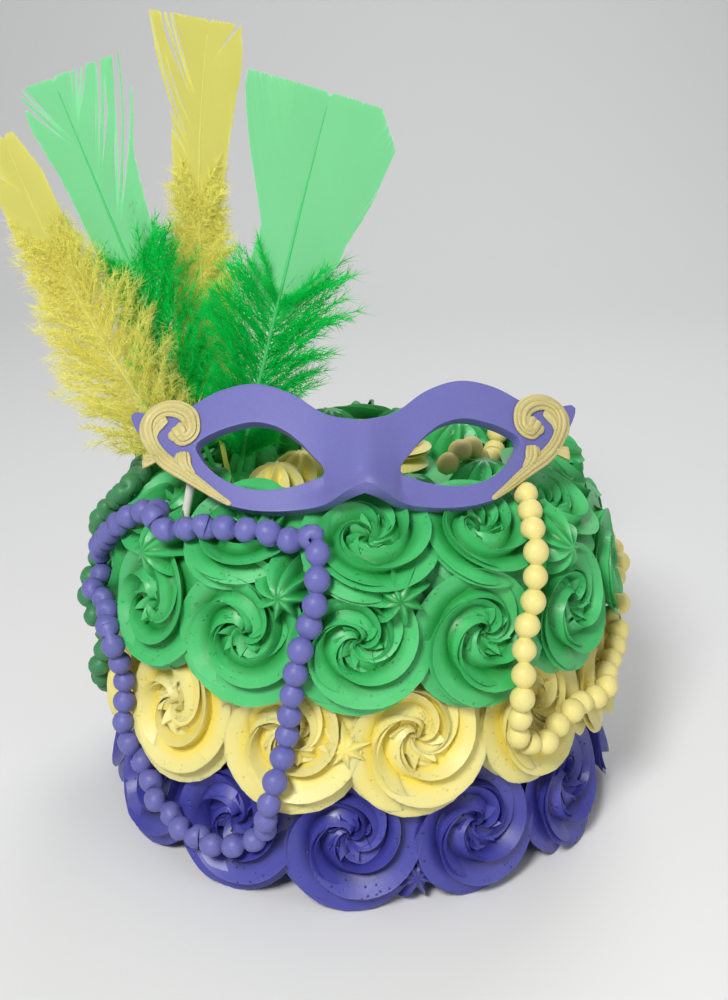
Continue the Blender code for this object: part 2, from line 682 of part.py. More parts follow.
def make_beads(name, route, closed, cake, near, parts):
    """A strand of beads laid on the cake: one tube, wide at each bead and narrow between them."""
    guide = [settled(azimuth, up, cake) for azimuth, up in smooth_loop(route, 90, closed)]
    length = sum((b - a).length for a, b in zip(guide, guide[1:] + guide[:1] * closed))
    count = round(length / BEAD_PITCH)
    line = [clear_of(point, near) for point in smooth_loop(guide, 3 * count, closed)]
    radii = [(BEAD_NECK, 0.90 * BEAD_RADIUS, 0.90 * BEAD_RADIUS)[index % 3] for index in range(len(line))]
    strand = as_mesh(tube(name, line, radii, parts, closed))
    finish(strand, name, 0.4)
    return strand


def main():
    clear_scene()
    parts = new_collection("celebration_cake")
    cutters = new_collection("cutters", hidden=True)
    tiers = make_tiers(parts)
    swirl = make_middle_swirl(parts)
    mask = make_mask(parts)
    scrolls = [make_scroll("left", -1, parts), make_scroll("right", 1, parts)]
    holes, sticks = make_sticks(parts, cutters)
    holes.append(larger(mask, 1.6 * GAP, cutters))
    feathers = []
    for name, shape in FEATHERS.items():
        feather, hole = make_feather(name, shape, parts, cutters)
        feathers.append(feather)
        holes.append(hole)
    boolean(tiers["green"], "DIFFERENCE", holes)
    keep_largest(tiers["green"])
    laid = [*tiers.values(), swirl]
    cake = surface_of(laid)
    laid.extend([mask, *scrolls, *sticks, *feathers])
    for name, route, closed in (("beads_purple", BEADS_PURPLE, True), ("beads_yellow", BEADS_YELLOW, False),
                                ("beads_green", BEADS_GREEN, True)):
        laid.append(make_beads(name, route, closed, cake, surface_of(laid), parts))


main()
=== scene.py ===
# A round cake piped all over with buttercream rosettes in three bands, with a moulded half mask on sticks,
# four feathers and three strands of moulded beads. Front is -Y, z = 0 is the flat bottom, metres.

import math
import random

import bmesh
import bpy
import numpy as np
from mathutils import Matrix, Vector
from mathutils.bvhtree import BVHTree


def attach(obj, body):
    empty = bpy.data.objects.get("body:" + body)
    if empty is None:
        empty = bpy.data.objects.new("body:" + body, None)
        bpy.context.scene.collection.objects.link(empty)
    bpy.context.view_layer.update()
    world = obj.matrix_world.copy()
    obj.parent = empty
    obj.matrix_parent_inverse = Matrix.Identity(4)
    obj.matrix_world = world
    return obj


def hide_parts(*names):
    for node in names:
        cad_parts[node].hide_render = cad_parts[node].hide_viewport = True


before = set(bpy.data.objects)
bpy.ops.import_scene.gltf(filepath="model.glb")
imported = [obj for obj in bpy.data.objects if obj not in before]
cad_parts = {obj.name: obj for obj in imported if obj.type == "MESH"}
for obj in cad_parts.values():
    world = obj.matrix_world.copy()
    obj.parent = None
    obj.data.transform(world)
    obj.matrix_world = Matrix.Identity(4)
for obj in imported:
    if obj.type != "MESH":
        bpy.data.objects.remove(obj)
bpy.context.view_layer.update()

# The camera stands a little above the top of the cake and looks down at it. The light is that of a white
# room: a broad soft window to the upper left, a weaker one to the right, and pale walls all round. The
# floor is a plain pale sheet.
camera = bpy.data.cameras.new("camera")
camera.sensor_fit = "VERTICAL"
camera.sensor_height = 36
camera.lens = 45
camera_stand = bpy.data.objects.new("camera", camera)
camera_stand.location = (-0.00338, -0.48716, 0.29953)
camera_stand.rotation_euler = (math.pi / 2 - math.radians(19.926), 0, math.radians(-0.561))
bpy.context.scene.collection.objects.link(camera_stand)
bpy.context.scene.camera = camera_stand
bpy.context.scene.view_settings.view_transform = "Standard"


def soft_light(name, at, aim, size, watts, colour=(1, 1, 1)):
    """A broad soft lamp at one point that faces another."""
    lamp = bpy.data.lights.new(name, "AREA")
    lamp.shape = "DISK"
    lamp.size = size
    lamp.energy = watts
    lamp.color = colour
    stand = bpy.data.objects.new(name, lamp)
    stand.location = at
    stand.rotation_euler = (Vector(aim) - Vector(at)).to_track_quat("-Z", "Y").to_euler()
    bpy.context.scene.collection.objects.link(stand)


soft_light("window", (-0.40, -0.95, 1.02), (0, 0, 0.09), 0.36, 16.0)
soft_light("fill", (0.95, -0.85, 0.55), (0, 0, 0.08), 0.8, 2.6)
soft_light("back_light", (0.35, 0.95, 1.25), (0, 0, 0.12), 0.8, 7.0)
world = bpy.data.worlds.new("room")
world.use_nodes = True
world.node_tree.nodes["Background"].inputs["Color"].default_value = (0.86, 0.87, 0.88, 1)
world.node_tree.nodes["Background"].inputs["Strength"].default_value = 0.33
bpy.context.scene.world = world

bpy.ops.object.select_all(action="DESELECT")
bpy.ops.mesh.primitive_grid_add(x_subdivisions=2, y_subdivisions=84, size=2)
floor = bpy.context.object
floor.name = "floor"
FLAT, BENT, BEND_RADIUS = 6.0, 0.9, 0.573
for vert in floor.data.vertices:
    way = (vert.co.y + 1) * 4.2
    bend = min(max(way - FLAT, 0) / BENT, 1) * math.pi / 2
    rise = BEND_RADIUS * (1 - math.cos(bend)) + 1.8 * max(way - FLAT - BENT, 0)
    vert.co = (4.5 * vert.co.x, min(way, FLAT) - 5 + BEND_RADIUS * math.sin(bend), rise)
bpy.ops.object.shade_smooth()
floor_finish = bpy.data.materials.new("floor")
floor_finish.use_nodes = True
floor_finish.node_tree.nodes["Principled BSDF"].inputs["Base Color"].default_value = (0.77, 0.77, 0.77, 1)
floor_finish.node_tree.nodes["Principled BSDF"].inputs["Roughness"].default_value = 0.8
floor.data.materials.append(floor_finish)


# Rosettes. Each is one rope of buttercream pressed through an open star nozzle: it starts in the middle,
# winds outwards against the clock for not quite two turns, and its tail is drawn off to a point. The
# nozzle isn't turned with it, so the ridges wander across the rope. Three rows of them lean on the wall.
RIDGES = 8
CORE_RADIUS = 0.089
CORE_HEIGHT = 0.134
TIERS = {
    "purple": {"low": 0.0, "high": 0.048, "count": 13, "start": -1.6,
               "height": 0.0288, "wide": 0.0284, "tall": 0.0287},
    "yellow": {"low": 0.0483, "high": 0.087, "count": 13, "start": 11.9,
               "height": 0.0690, "wide": 0.0280, "tall": 0.0304},
    "green": {"low": 0.0873, "high": 0.134, "count": 14, "start": 0.2,
              "height": 0.1075, "wide": 0.0272, "tall": 0.0276},
}
ROSETTE_LEAN = math.radians(13)
EDGE_RING = {"count": 12, "radius": 0.079, "height": 0.131, "lean": math.radians(32), "size": 0.0240,
             "sinks": 0.008}
WALL_STARS = {
    "green": ((-49, 0.128), (-16, 0.124), (7, 0.124), (46, 0.131), (112, 0.130), (178, 0.129), (-120, 0.130)),
    "yellow": ((-3.5, 0.067), (123, 0.066)),
    "purple": ((11, 0.012), (-160, 0.013)),
}
TOP_STARS = ((-105, 0.050), (-14, 0.043), (2, 0.032), (24, 0.044), (66, 0.052), (128, 0.053), (160, 0.055),
             (-165, 0.054), (-135, 0.052))


def outward(azimuth):
    """The level direction at an azimuth in degrees from the front towards +X."""
    angle = math.radians(azimuth)
    return np.array((math.sin(angle), -math.cos(angle), 0.0))


def on_wall(points, azimuth, height):
    """Points piped flat (x along the wall, y up, h out) laid round the leaning wall."""
    x, y, h = points[..., 0], points[..., 1], points[..., 2]
    angle = math.radians(azimuth) + x / (CORE_RADIUS + 0.008)
    radius = CORE_RADIUS + h - np.where(h > 0, y * math.tan(ROSETTE_LEAN), 0)
    z = np.maximum(height + y, 0.0004)
    return np.stack((np.sin(angle) * radius, -np.cos(angle) * radius, z), axis=-1)


def on_top(points, azimuth, radius, height, lean=0.0):
    """Points piped flat laid on the top, their seat leaning out."""
    out = outward(azimuth)
    aside = np.array((-out[1], out[0], 0.0))
    normal = out * math.sin(lean) + np.array((0, 0, math.cos(lean)))
    inward = np.cross(normal, aside)
    middle = out * radius + np.array((0, 0, height))
    return middle + points[..., :1] * aside + points[..., 1:2] * inward + points[..., 2:3] * normal


def rolled_sheet(name, columns, rows, place, crest=None):
    """A grid primitive rolled up into a closed form: place(turn, way) gives all of its points at once, and
    crest(turn, way) how far each stands out, which the frosting reads to paint light on the ridges and shade
    in the hollows."""
    bpy.ops.object.select_all(action="DESELECT")
    bpy.ops.mesh.primitive_grid_add(x_subdivisions=columns, y_subdivisions=rows, size=1)
    sheet = bpy.context.object
    sheet.name = name
    flat = np.empty(len(sheet.data.vertices) * 3, dtype=np.float32)
    sheet.data.vertices.foreach_get("co", flat)
    turn, way = flat.reshape(-1, 3)[:, 0].astype(float) + 0.5, flat.reshape(-1, 3)[:, 1].astype(float) + 0.5
    sheet.data.vertices.foreach_set("co", place(turn, way).astype(np.float32).ravel())
    heights = sheet.data.attributes.new("crest", "FLOAT", "POINT")
    heights.data.foreach_set("value", (crest(turn, way) if crest else 0.5 + 0 * turn).astype(np.float32))
    bpy.ops.object.mode_set(mode="EDIT")
    bpy.ops.mesh.select_all(action="SELECT")
    bpy.ops.mesh.remove_doubles(threshold=0.000002)
    bpy.ops.mesh.normals_make_consistent(inside=False)
    bpy.ops.object.mode_set(mode="OBJECT")
    return sheet


def joined(name, pieces, angle=60):
    """Several meshes joined into one and shaded smooth but for their crests."""
    bpy.ops.object.select_all(action="DESELECT")
    for piece in pieces:
        piece.select_set(True)
    bpy.context.view_layer.objects.active = pieces[0]
    bpy.ops.object.join()
    whole = bpy.context.object
    whole.name = name
    bpy.ops.object.transform_apply(location=True, rotation=True, scale=True)
    bpy.ops.object.shade_smooth_by_angle(angle=math.radians(angle))
    return whole


def ridge_shape(number, sharp=0.7):
    """1 on a ridge and 0 in a valley: sharp ridges with wide hollows between them."""
    return 1 - np.abs(np.sin(np.pi * number)) ** sharp


def wander(values, chance, waves=5):
    """A slow random wave along an array of values from 0 to 1, about -1 to 1."""
    total = np.zeros_like(values)
    for wave in range(1, waves + 1):
        total += chance.uniform(-1, 1) * np.sin(values * wave * 5.1 + chance.uniform(0, 6.3)) / wave ** 0.5
    return total / 1.6


DRIFT = 0.34
ROPE = 0.45
TURNS = 2.4
LOWEST = 0.46
HIGHEST = 0.58
FOLD = 0.20
HEART = 0.32


def rosette(name, wide, tall, depth, seat, chance, columns=32, rows=94):
    """One rosette, seat(points) laying it on the cake: the rope, and the fins of its start in the middle."""
    rope = ROPE * wide
    end = math.radians(-35 + chance.uniform(-18, 18))
    begin = end - TURNS * 2 * math.pi
    twist = chance.uniform(0, 1)
    bumps = random.Random(chance.random())
    rag = [chance.uniform(0, 6.3) for _ in range(4)]
    heart = HEART * wide * chance.uniform(0.9, 1.1)

    def coil(turn, way):
        way = way * (1.42 - 0.42 * way)
        psi = begin + (end - begin) * way
        done = way * TURNS
        grow = np.clip(done / 0.7, 0, 1)
        widen = np.clip(done / 1.15, 0, 1)
        widen = widen * widen * (3 - 2 * widen)
        tail = np.clip((TURNS - done) / 0.22, 0, 1)
        size = (0.45 + 0.55 * grow) * np.sqrt(tail) * np.where(way < 0.001, 0.02, 1)
        reach = (wide - rope) * (0.12 + 0.82 * widen + 0.06 * way) + 0.0006 * wander(way, bumps, 4)
        crest = ridge_shape(RIDGES * turn)
        around = 2 * math.pi * (turn + twist) + DRIFT * psi + FOLD * crest
        ragged = np.sin(13 * psi + rag[0] + 9 * turn) * np.sin(5 * psi + rag[1] + 31 * turn)
        round_radius = LOWEST + HIGHEST * crest + 0.014 * ragged * crest
        aside = np.sin(around) * round_radius * size * rope
        up = np.cos(around) * round_radius * size
        high = depth * (0.38 + 0.06 * grow) * np.sqrt(tail) + up * 0.56 * depth
        radius = reach + aside
        high = np.maximum(high, -0.002)
        return seat(np.stack((radius * np.cos(psi), radius * tall / wide * np.sin(psi), high), axis=-1))

    def fins(turn, way):
        crest = ridge_shape(RIDGES * turn)
        rim = np.clip(way / 0.3, 0, 1)
        inner = np.clip((way - 0.3) / 0.7, 0, 1)
        reach = heart * (1 - inner ** 0.9) * (0.72 + 0.33 * crest * (1 - 0.6 * inner))
        high = depth * (0.70 * rim - 0.18 * inner + 0.22 * crest * (1 - inner) * rim)
        angle = (turn + twist) * 2 * math.pi - 1.25 * inner
        return seat(np.stack((reach * np.cos(angle), reach * tall / wide * np.sin(angle), high), axis=-1))

    def ridge(turn, way):
        return ridge_shape(RIDGES * turn)

    made = [rolled_sheet(name, columns, rows, coil, ridge), rolled_sheet(name, columns, 9, fins, ridge)]
    return joined(name, made)


def star_drop(name, size, depth, seat, chance, columns=32, rows=10):
    """A star filler: ridges that rise, turn a little and meet in a pulled point."""
    twist = chance.uniform(0, 1)
    swirl = chance.uniform(0.25, 0.6)

    def place(turn, way):
        part = np.maximum(np.cos(way * math.pi / 2), 0) ** 0.85
        high = depth * np.sin(way * math.pi / 2) ** 0.9
        reach = size * part * (0.60 + 0.46 * ridge_shape(RIDGES * turn))
        angle = (turn + twist) * 2 * math.pi + swirl * way
        return seat(np.stack((reach * np.cos(angle), reach * np.sin(angle), high - 0.001), axis=-1))

    return rolled_sheet(name, columns, rows, place, lambda turn, way: ridge_shape(RIDGES * turn))


def wall_body(name, low, high, rounding=0.0):
    """The round body behind a row, its top edge rounded on the highest."""
    side = CORE_RADIUS - 0.0005
    profile = [(0.0, low), (side, low), (side, high - rounding)]
    for step in range(1, 7 if rounding else 1):
        angle = step / 6 * math.pi / 2
        profile.append((side - rounding * (1 - math.cos(angle)), high - rounding * (1 - math.sin(angle))))
    profile.append((0.0, high))
    ring = np.array(profile)

    def place(turn, way):
        row = np.rint(way * (len(profile) - 1)).astype(int)
        angle = turn * 2 * math.pi
        return np.stack((np.sin(angle) * ring[row, 0], -np.cos(angle) * ring[row, 0], ring[row, 1]), axis=-1)

    return rolled_sheet(name, 96, len(profile) - 1, place)


def piped_tier(colour):
    """All that is piped on one tier, with the tier's own body."""
    chance = random.Random(colour)
    tier = TIERS[colour]
    made = [wall_body("body_" + colour, tier["low"], tier["high"], 0.007 if colour == "green" else 0.0)]
    for place in range(tier["count"]):
        azimuth = tier["start"] + 360 * place / tier["count"] + chance.uniform(-1.2, 1.2)
        height = tier["height"] + chance.uniform(-0.001, 0.001)
        wide = tier["wide"] * chance.uniform(0.98, 1.04)
        tall = tier["tall"] * chance.uniform(0.98, 1.03)
        depth = 0.016 * chance.uniform(0.95, 1.03)
        made.append(rosette("rosette", wide, tall, depth, lambda p: on_wall(p, azimuth, height), chance))
    for azimuth, height in WALL_STARS[colour]:
        made.append(star_drop("star", 0.0125, 0.017, lambda p: on_wall(p, azimuth, height), chance))
    if colour == "green":
        for place in range(EDGE_RING["count"]):
            azimuth = 360 * place / EDGE_RING["count"] + chance.uniform(-2, 2)
            size = EDGE_RING["size"] * chance.uniform(0.97, 1.04)
            sunk = EDGE_RING["sinks"] * min(1 - math.cos(math.radians(azimuth)), 1)
            radius, low = EDGE_RING["radius"] - 0.5 * sunk, EDGE_RING["height"] - sunk
            seat = lambda p: on_top(p, azimuth, radius, low, EDGE_RING["lean"])
            made.append(rosette("rosette", size, size, 0.016, seat, chance))
        for azimuth, radius in TOP_STARS:
            seat = lambda p: on_top(p, azimuth, radius, CORE_HEIGHT)
            made.append(star_drop("star", 0.0135, 0.0145, seat, chance))
    whole = joined("piping_" + colour, made)
    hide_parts("tier_" + colour)
    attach(whole, "root")
    return whole


def painted_shading_and_pits():
    """The group for whipped cream's surface: painted light on the ridges and painted shade in the hollows
    between them, a tone that drifts, and pits of burst air darkened with painted shade.
    """
    group = bpy.data.node_groups.new("painted_shading_and_pits", "ShaderNodeTree")
    face = group.interface
    # Light is the colour painted on the ridges as light, Deep the one painted in the hollows and pits as
    # shade.
    face.new_socket("Light", in_out="INPUT", socket_type="NodeSocketColor")
    face.new_socket("Deep", in_out="INPUT", socket_type="NodeSocketColor")
    face.new_socket("Crest", in_out="INPUT", socket_type="NodeSocketFloat")
    face.new_socket("Pits", in_out="INPUT", socket_type="NodeSocketFloat")
    face.new_socket("Colour", in_out="OUTPUT", socket_type="NodeSocketColor")
    face.new_socket("Height", in_out="OUTPUT", socket_type="NodeSocketFloat")
    face.new_socket("Roughness", in_out="OUTPUT", socket_type="NodeSocketFloat")
    nodes, links = group.nodes, group.links
    given = nodes.new("NodeGroupInput")
    result = nodes.new("NodeGroupOutput")
    place = nodes.new("ShaderNodeTexCoord")

    def noise(scale, detail):
        made = nodes.new("ShaderNodeTexNoise")
        made.inputs["Scale"].default_value = scale
        made.inputs["Detail"].default_value = detail
        links.new(place.outputs["Object"], made.inputs["Vector"])
        return made

    def ranged(value, low, high, to_low, to_high):
        made = nodes.new("ShaderNodeMapRange")
        made.inputs["From Min"].default_value = low
        made.inputs["From Max"].default_value = high
        made.inputs["To Min"].default_value = to_low
        made.inputs["To Max"].default_value = to_high
        links.new(value, made.inputs["Value"])
        return made.outputs["Result"]

    def maths(operation, first, second):
        made = nodes.new("ShaderNodeMath")
        made.operation = operation
        for socket, value in zip(made.inputs, (first, second)):
            if isinstance(value, (int, float)):
                socket.default_value = value
            else:
                links.new(value, socket)
        return made.outputs["Value"]

    cloud = noise(60, 3)
    # Painted light and shade: the higher the crest, the nearer the colour goes to Light; the hollows keep the
    # Deep colour.
    crest_shading = ranged(given.outputs["Crest"], 0.0, 0.55, 0.0, 0.75)
    tone = maths("ADD", crest_shading, ranged(cloud.outputs["Fac"], 0.3, 0.7, 0.0, 0.25))
    blend = nodes.new("ShaderNodeMix")
    blend.data_type = "RGBA"
    links.new(tone, blend.inputs["Factor"])
    links.new(given.outputs["Deep"], blend.inputs["A"])
    links.new(given.outputs["Light"], blend.inputs["B"])
    cells = nodes.new("ShaderNodeTexVoronoi")
    cells.inputs["Scale"].default_value = 560
    cells.inputs["Randomness"].default_value = 1.0
    links.new(place.outputs["Object"], cells.inputs["Vector"])
    where = ranged(noise(210, 2).outputs["Fac"], 0.52, 0.62, 0.0, 1.0)
    pit = maths("MULTIPLY", ranged(cells.outputs["Distance"], 0.10, 0.30, 1.0, 0.0), where)
    pit = maths("MULTIPLY", pit, given.outputs["Pits"])
    # Painted shade in the pits: where a pit is, the colour is multiplied towards the Deep colour.
    pit_shade = nodes.new("ShaderNodeMix")
    pit_shade.data_type = "RGBA"
    pit_shade.blend_type = "MULTIPLY"
    links.new(maths("MULTIPLY", pit, 0.55), pit_shade.inputs["Factor"])
    links.new(blend.outputs["Result"], pit_shade.inputs["A"])
    links.new(given.outputs["Deep"], pit_shade.inputs["B"])
    links.new(pit_shade.outputs["Result"], result.inputs["Colour"])
    grain = maths("MULTIPLY", noise(900, 3).outputs["Fac"], 0.12)
    soft = maths("MULTIPLY", noise(110, 3).outputs["Fac"], 0.5)
    links.new(maths("SUBTRACT", maths("ADD", grain, soft), pit), result.inputs["Height"])
    links.new(ranged(cloud.outputs["Fac"], 0.3, 0.7, 0.36, 0.52), result.inputs["Roughness"])
    return group


PAINTED_SHADING_AND_PITS = painted_shading_and_pits()


def frosting(name, light, deep, pits, gloss, glow):
    """Buttercream: matt and slightly see-through, with painted light on its ridges, painted shade in its
    valleys, and fine air pits darkened with painted shade.
    """
    material = bpy.data.materials.new(name)
    material.use_nodes = True
    tree = material.node_tree
    shader = tree.nodes["Principled BSDF"]
    surface = tree.nodes.new("ShaderNodeGroup")
    surface.node_tree = PAINTED_SHADING_AND_PITS
    surface.inputs["Light"].default_value = (*light, 1)
    surface.inputs["Deep"].default_value = (*deep, 1)
    surface.inputs["Pits"].default_value = pits
    crest = tree.nodes.new("ShaderNodeAttribute")
    crest.attribute_name = "crest"
    bump = tree.nodes.new("ShaderNodeBump")
    bump.inputs["Strength"].default_value = 0.5
    bump.inputs["Distance"].default_value = 0.0006
    # The crest attribute drives the painted light on the ridges and the painted shade in the hollows.
    tree.links.new(crest.outputs["Fac"], surface.inputs["Crest"])
    tree.links.new(surface.outputs["Colour"], shader.inputs["Base Color"])
    tree.links.new(surface.outputs["Roughness"], shader.inputs["Roughness"])
    tree.links.new(surface.outputs["Height"], bump.inputs["Height"])
    tree.links.new(bump.outputs["Normal"], shader.inputs["Normal"])
    shader.inputs["Subsurface Weight"].default_value = glow
    shader.inputs["Subsurface Radius"].default_value = (0.9, 0.9, 0.6)
    shader.inputs["Subsurface Scale"].default_value = 0.0015
    shader.inputs["Specular IOR Level"].default_value = gloss
    shader.inputs["Coat Weight"].default_value = 0.12 * gloss
    shader.inputs["Coat Roughness"].default_value = 0.35
    return material


# The first colour of each frosting is painted on its ridges as light, the second in its hollows and pits as
# shade.
FROSTINGS = {
    "green": frosting("frosting_green", (0.062, 0.500, 0.150), (0.001, 0.200, 0.018), 1.0, 0.55, 0.12),
    "yellow": frosting("frosting_yellow", (0.75, 0.685, 0.28), (0.82, 0.64, 0.05), 1.0, 0.4, 0.4),
    "purple": frosting("frosting_purple", (0.052, 0.053, 0.345), (0.004, 0.004, 0.105), 1.6, 0.7, 0.10),
}
tiers = []
for colour in TIERS:
    tiers.append(piped_tier(colour))
    tiers[-1].data.materials.append(FROSTINGS[colour])


# The large yellow rosette in the middle of the top and two star fillers that touch it, piped with the
# same nozzle.
chance = random.Random(8)
made = [rosette("rosette", 0.0280, 0.0285, 0.0150, lambda p: on_top(p, 169.7, 0.0112, CORE_HEIGHT), chance)]
for azimuth, radius in ((-63.9, 0.0273), (-50.7, 0.0426)):
    made.append(star_drop("star", 0.0120, 0.0150, lambda p: on_top(p, azimuth, radius, CORE_HEIGHT), chance))
swirl = joined("swirl_top", made)
swirl.data.materials.append(FROSTINGS["yellow"])
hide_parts("swirl_yellow_top")
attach(swirl, "root")


# The half mask: a sheet of purple fondant about 5 mm thick, cut out with its eye holes and dried over a
# form, so that it bows round the face and folds over the nose. Its cut edges are smoothed with a finger.
MASK_AT = np.array((-0.0005, -0.0628, 0.1682))
MASK_LEAN = math.radians(42)
MASK_YAW = math.radians(3)
MASK_THICKNESS = 0.0048
MASK_OUTLINE = ((0, 0.0036), (0.012, 0.0092), (0.024, 0.0190), (0.037, 0.0245), (0.050, 0.0236),
                (0.062, 0.0190), (0.071, 0.0186), (0.0825, 0.0228), (0.0795, 0.0130), (0.070, 0.0000),
                (0.060, -0.0105), (0.050, -0.0195), (0.040, -0.0242), (0.030, -0.0262), (0.020, -0.0267),
                (0.0125, -0.0266), (0.0065, -0.0252), (0, -0.0238))
EYE_OUTLINE = ((0.0165, -0.0068), (0.0220, 0.0003), (0.0290, 0.0062), (0.0375, 0.0092), (0.0470, 0.0084),
               (0.0545, 0.0062), (0.0580, 0.0034), (0.0560, -0.0022), (0.0510, -0.0088), (0.0440, -0.0142),
               (0.0360, -0.0172), (0.0270, -0.0177), (0.0190, -0.0166), (0.0118, -0.0138))


def on_mask(u, v, out):
    """Points of the mask: u across, v up, and out from its middle sheet towards the front."""
    nose = 0.0098 * np.exp(-(np.abs(u / 0.0112) ** 1.6)) * (0.68 - 26 * v)
    crease = 0.0013 * np.exp(-(((np.abs(u) - 0.0125) / 0.0020) ** 2) - ((v + 0.018) / 0.007) ** 2)
    turn = np.array(Matrix.Rotation(MASK_YAW, 3, "Z"))
    normal = turn @ np.array((0, -math.cos(MASK_LEAN), math.sin(MASK_LEAN)))
    rise = turn @ np.array((0, math.sin(MASK_LEAN), math.cos(MASK_LEAN)))
    across = turn @ np.array((1.0, 0, 0))
    rolled = 0.0012 * np.exp(-(((v + 0.0245) / 0.0022) ** 2))
    pressed = 0.0009 * np.exp(-(((v + 0.0195) / 0.0025) ** 2))
    lip = np.exp(-((u / 0.012) ** 2)) * (rolled - pressed)
    forward = out + nose - crease + lip - u * u / 0.29
    flat = np.multiply.outer(u, across) + np.multiply.outer(v, rise)
    return MASK_AT + flat + np.multiply.outer(forward, normal)


def smooth_line(points, count, closed=True):
    """Points spread evenly along a smooth line through the given ones."""
    total = len(points)
    fine = []
    for span in range(total if closed else total - 1):
        near = range(span - 1, span + 3)
        near = [k % total if closed else min(max(k, 0), total - 1) for k in near]
        a, b, c, d = (np.array(points[k], dtype=float) for k in near)
        t = np.linspace(0, 1, 12, endpoint=False)[:, None]
        square = (2 * a - 5 * b + 4 * c - d) * t * t
        fine.append(0.5 * (2 * b + (c - a) * t + square + (3 * b - a - 3 * c + d) * t ** 3))
    fine.append(np.array([points[0] if closed else points[-1]], dtype=float))
    fine = np.concatenate(fine)
    ways = np.concatenate(([0], np.cumsum(np.linalg.norm(np.diff(fine, axis=0), axis=1))))
    wanted = ways[-1] * np.arange(count) / (count if closed else count - 1)
    return np.stack([np.interp(wanted, ways, fine[:, axis]) for axis in range(fine.shape[1])], axis=1)


def finished(piece, steps):
    """Modifiers put on a piece and applied one after the other: (kind, {setting: value})."""
    bpy.context.view_layer.objects.active = piece
    for kind, settings in steps:
        step = piece.modifiers.new(kind, kind)
        for setting, value in settings.items():
            setattr(step, setting, value)
        bpy.ops.object.modifier_apply(modifier=step.name)


rim = smooth_line(MASK_OUTLINE, 100, closed=False)
rim = np.concatenate((rim, np.stack((np.zeros(9), np.linspace(-0.0197, 0.0010, 9)), axis=1)))
rim[[0, 99], 0] = 0
rim[:, 0] = np.maximum(rim[:, 0], 0)
eye = smooth_line(EYE_OUTLINE, len(rim))


def mask_half(turn, way):
    """Half of the mask laid flat round its eye hole."""
    column = np.rint(turn * len(rim)).astype(int) % len(rim)
    flat = eye[column] + (rim[column] - eye[column]) * way[:, None]
    return np.concatenate((flat, np.zeros((len(turn), 1))), axis=1)


mask = rolled_sheet("mask_fondant", len(rim), 12, mask_half)
finished(mask, [("MIRROR", {"merge_threshold": 0.0001})])
flat = np.array([vert.co for vert in mask.data.vertices])
for vert, point in zip(mask.data.vertices, on_mask(flat[:, 0], flat[:, 1], np.zeros(len(flat)))):
    vert.co = point
finished(mask, [
    ("SOLIDIFY", {"thickness": MASK_THICKNESS, "offset": 0}),
    ("BEVEL", {"width": 0.0020, "segments": 5, "limit_method": "ANGLE", "angle_limit": math.radians(50)}),
])
bpy.ops.object.select_all(action="DESELECT")
mask.select_set(True)
bpy.ops.object.mode_set(mode="EDIT")
bpy.ops.mesh.select_all(action="SELECT")
bpy.ops.mesh.normals_make_consistent(inside=False)
bpy.ops.object.mode_set(mode="OBJECT")
bpy.ops.object.shade_smooth_by_angle(angle=math.radians(50))


def fondant_grain():
    """The group for rolled and moulded fondant: a faint mottled tone and a fine powdery grain."""
    group = bpy.data.node_groups.new("fondant_grain", "ShaderNodeTree")
    face = group.interface
    face.new_socket("Light", in_out="INPUT", socket_type="NodeSocketColor")
    face.new_socket("Deep", in_out="INPUT", socket_type="NodeSocketColor")
    face.new_socket("Worn", in_out="INPUT", socket_type="NodeSocketFloat")
    face.new_socket("Colour", in_out="OUTPUT", socket_type="NodeSocketColor")
    face.new_socket("Height", in_out="OUTPUT", socket_type="NodeSocketFloat")
    nodes, links = group.nodes, group.links
    given = nodes.new("NodeGroupInput")
    result = nodes.new("NodeGroupOutput")
    place = nodes.new("ShaderNodeTexCoord")
    coarse = nodes.new("ShaderNodeTexNoise")
    coarse.inputs["Scale"].default_value = 70
    coarse.inputs["Detail"].default_value = 5
    fine = nodes.new("ShaderNodeTexNoise")
    fine.inputs["Scale"].default_value = 1500
    fine.inputs["Detail"].default_value = 2
    links.new(place.outputs["Object"], coarse.inputs["Vector"])
    links.new(place.outputs["Object"], fine.inputs["Vector"])
    blend = nodes.new("ShaderNodeMix")
    blend.data_type = "RGBA"
    part = nodes.new("ShaderNodeMath")
    part.operation = "MULTIPLY_ADD"
    part.use_clamp = True
    links.new(coarse.outputs["Fac"], part.inputs[0])
    links.new(given.outputs["Worn"], part.inputs[1])
    links.new(fine.outputs["Fac"], part.inputs[2])
    less = nodes.new("ShaderNodeMath")
    less.operation = "SUBTRACT"
    less.use_clamp = True
    links.new(part.outputs["Value"], less.inputs[0])
    less.inputs[1].default_value = 0.35
    links.new(less.outputs["Value"], blend.inputs["Factor"])
    links.new(given.outputs["Deep"], blend.inputs["A"])
    links.new(given.outputs["Light"], blend.inputs["B"])
    links.new(blend.outputs["Result"], result.inputs["Colour"])
    links.new(fine.outputs["Fac"], result.inputs["Height"])
    return group


FONDANT_GRAIN = fondant_grain()


